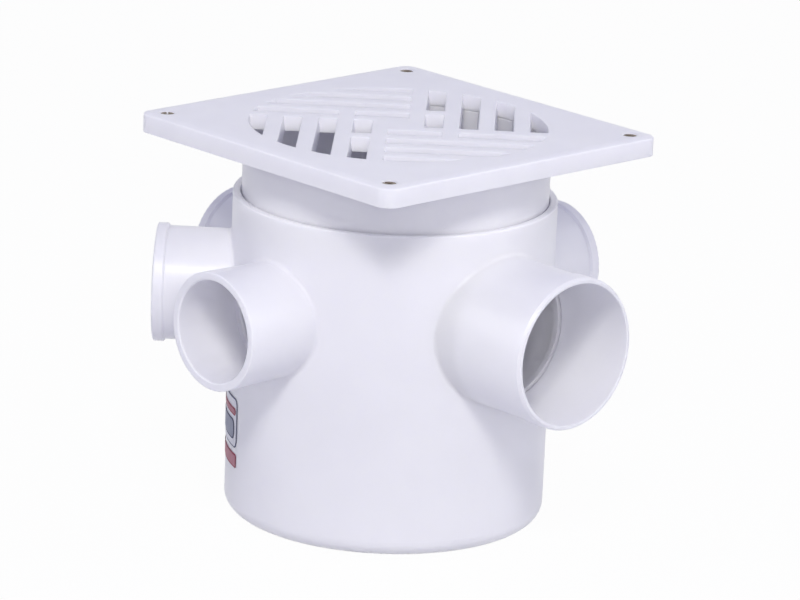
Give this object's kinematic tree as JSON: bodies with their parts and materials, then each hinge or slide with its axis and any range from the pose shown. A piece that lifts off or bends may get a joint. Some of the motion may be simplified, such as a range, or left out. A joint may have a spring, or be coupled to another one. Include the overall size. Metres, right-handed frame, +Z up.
{
  "type": "gully trap",
  "caption": "Round moulded floor gully trap with side inlets, an outlet spigot, a lift-out siphon elbow and a turning riser with a screwed square slotted cover",
  "frame": {"origin": "centre of the flat base, on the pot's axis", "axes": "+Z up out of the grating, +X along the outlet, the square cover's edges along X and Y"},
  "size_m": [0.2457, 0.2336, 0.1975],
  "materials": {
    "white_pvc": "satin",
    "seal_rubber": "matte",
    "screw_brass": "satin"
  },
  "bodies": {
    "trap": {"trap_body": "white_pvc", "siphon_elbow": "white_pvc", "elbow_seal": "seal_rubber"},
    "riser": {"riser_frame": "white_pvc", "grating": "white_pvc", "cover_screws": "screw_brass"}
  },
  "joints": [
    {"name": "riser_swivel", "type": "hinge", "parent": "trap", "child": "riser", "pos_m": [0, 0, 0.155], "axis": [0, 0, 1], "continuous": true}
  ]
}
